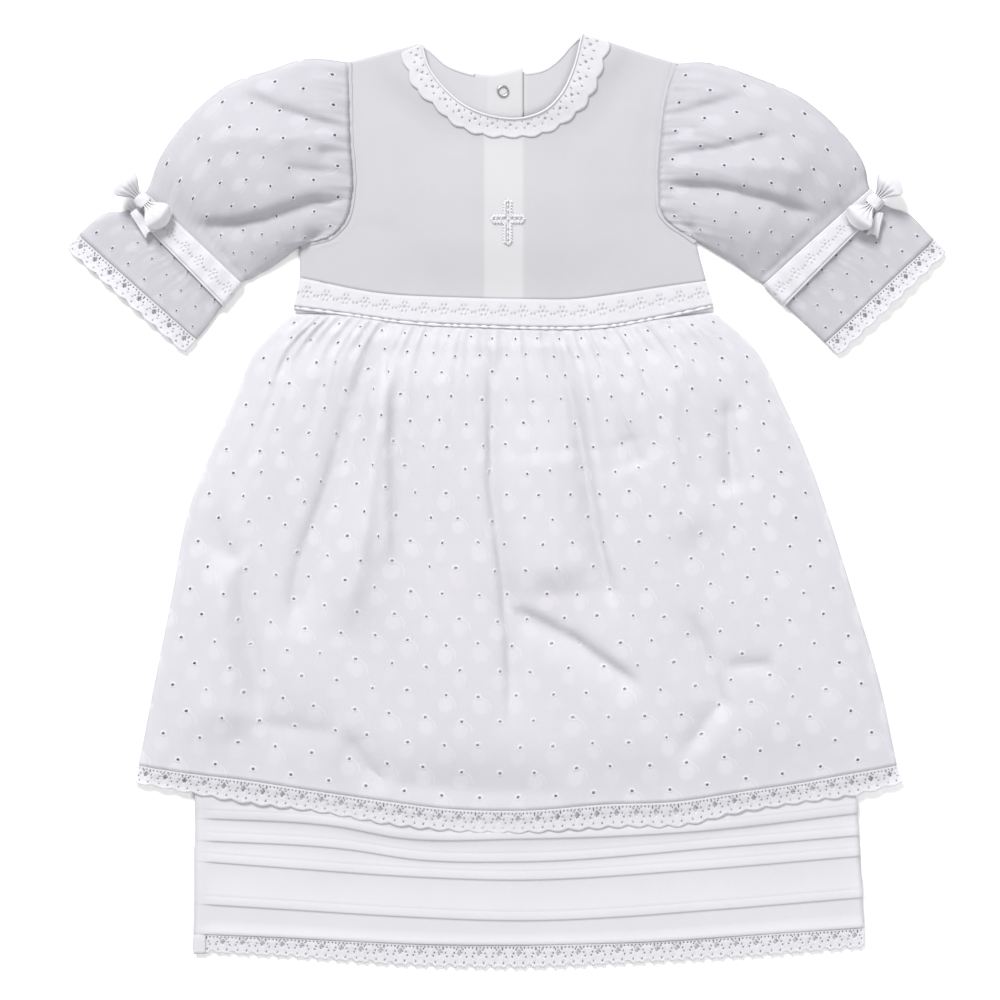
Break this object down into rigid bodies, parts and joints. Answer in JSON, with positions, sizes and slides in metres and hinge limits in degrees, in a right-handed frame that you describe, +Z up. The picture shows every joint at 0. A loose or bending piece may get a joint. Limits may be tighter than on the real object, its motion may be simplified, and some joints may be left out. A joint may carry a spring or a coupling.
{
  "type": "christening gown",
  "caption": "Baby's christening gown laid flat: puff sleeves with bows, lace neck, sheer bodice with an embroidered cross, eyelet overskirt over a tucked, lace-edged underskirt.",
  "frame": {"origin": "centre of the gown's bounding box, on the surface it lies on", "axes": "+Z up out of the gown's front, +Y towards the neck, +X to the viewer's right of the front"},
  "size_m": [0.5526, 0.587, 0.0189],
  "materials": {
    "cotton_batiste": "fine plain white cotton",
    "eyelet_cotton": "white cotton with embroidered eyelets",
    "lace": "white cotton bobbin lace and satin stitch",
    "satin": "white satin ribbon",
    "snap_metal": "bright nickel"
  },
  "bodies": {
    "root": {"bodice_back_left": "cotton_batiste", "bodice_back_right": "cotton_batiste", "bodice_front": "cotton_batiste", "bow_left_knot": "satin", "bow_left_loops": "satin", "bow_left_tail": "satin", "bow_right_knot": "satin", "bow_right_loops": "satin", "bow_right_tail": "satin", "cross": "lace", "cuff_lace_left": "lace", "cuff_lace_right": "lace", "neck_binding_back_left": "satin", "neck_binding_back_right": "satin", "neck_binding_front": "satin", "neck_lace_back_left": "lace", "neck_lace_back_right": "lace", "neck_lace_front": "lace", "overskirt_back": "eyelet_cotton", "overskirt_front": "eyelet_cotton", "overskirt_lace_back": "lace", "overskirt_lace_front": "lace", "sleeve_band_left": "lace", "sleeve_band_right": "lace", "sleeve_left": "eyelet_cotton", "sleeve_right": "eyelet_cotton", "snap_ring_inside": "snap_metal", "snap_ring_outside": "snap_metal", "underskirt_back": "cotton_batiste", "underskirt_front": "cotton_batiste", "underskirt_lace_back": "lace", "underskirt_lace_front": "lace", "waist_band_back": "lace", "waist_band_front": "lace", "waist_ribbon_back": "satin", "waist_ribbon_front": "satin"}
  },
  "joints": []
}
